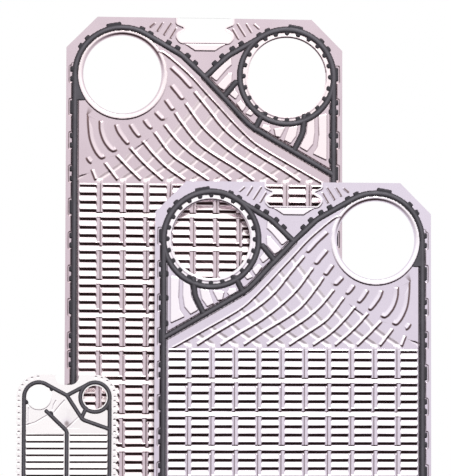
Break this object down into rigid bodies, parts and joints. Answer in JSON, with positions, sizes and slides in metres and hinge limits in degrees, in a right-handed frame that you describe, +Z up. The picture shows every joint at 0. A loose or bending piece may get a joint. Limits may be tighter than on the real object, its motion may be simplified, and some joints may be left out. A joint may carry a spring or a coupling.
{
  "type": "plate heat exchanger plate set",
  "caption": "Gasketed pressed stainless heat exchanger plates: two large and one small, with port holes, hanger notches, washboard pattern and one-piece rubber gaskets.",
  "frame": {"origin": "middle of the rear plate's top edge, in its hanger notch, on the crest plane of its pressing", "axes": "+Z up along the plates' length, +X to the right across them, the pressed gasket side faces -Y"},
  "size_m": [0.746, 0.02, 1.496],
  "materials": {
    "stainless": "bright pressed stainless sheet, bead-blasted look with faint press marks",
    "small_stainless": "bright pressed stainless sheet, smoother",
    "gasket_rubber": "moulded black nitrile rubber, satin"
  },
  "bodies": {
    "rear_plate": {"rear_plate": "stainless"},
    "rear_gasket": {"rear_gasket": "gasket_rubber"},
    "front_plate": {"front_plate": "stainless"},
    "front_gasket": {"front_gasket": "gasket_rubber"},
    "small_plate": {"small_plate": "small_stainless"},
    "small_gasket": {"small_gasket": "gasket_rubber"}
  },
  "joints": [
    {"name": "front_plate_slide", "type": "slide", "parent": "rear_plate", "child": "front_plate", "axis": [0, -1, 0], "range_m": [0, 0.15]},
    {"name": "small_plate_slide", "type": "slide", "parent": "rear_plate", "child": "small_plate", "axis": [0, -1, 0], "range_m": [0, 0.15]},
    {"name": "rear_gasket_unclip", "type": "slide", "parent": "rear_plate", "child": "rear_gasket", "axis": [0, -1, 0], "range_m": [0, 0.006]},
    {"name": "front_gasket_unclip", "type": "slide", "parent": "front_plate", "child": "front_gasket", "axis": [0, -1, 0], "range_m": [0, 0.03]},
    {"name": "small_gasket_unclip", "type": "slide", "parent": "small_plate", "child": "small_gasket", "axis": [0, -1, 0], "range_m": [0, 0.03]}
  ]
}
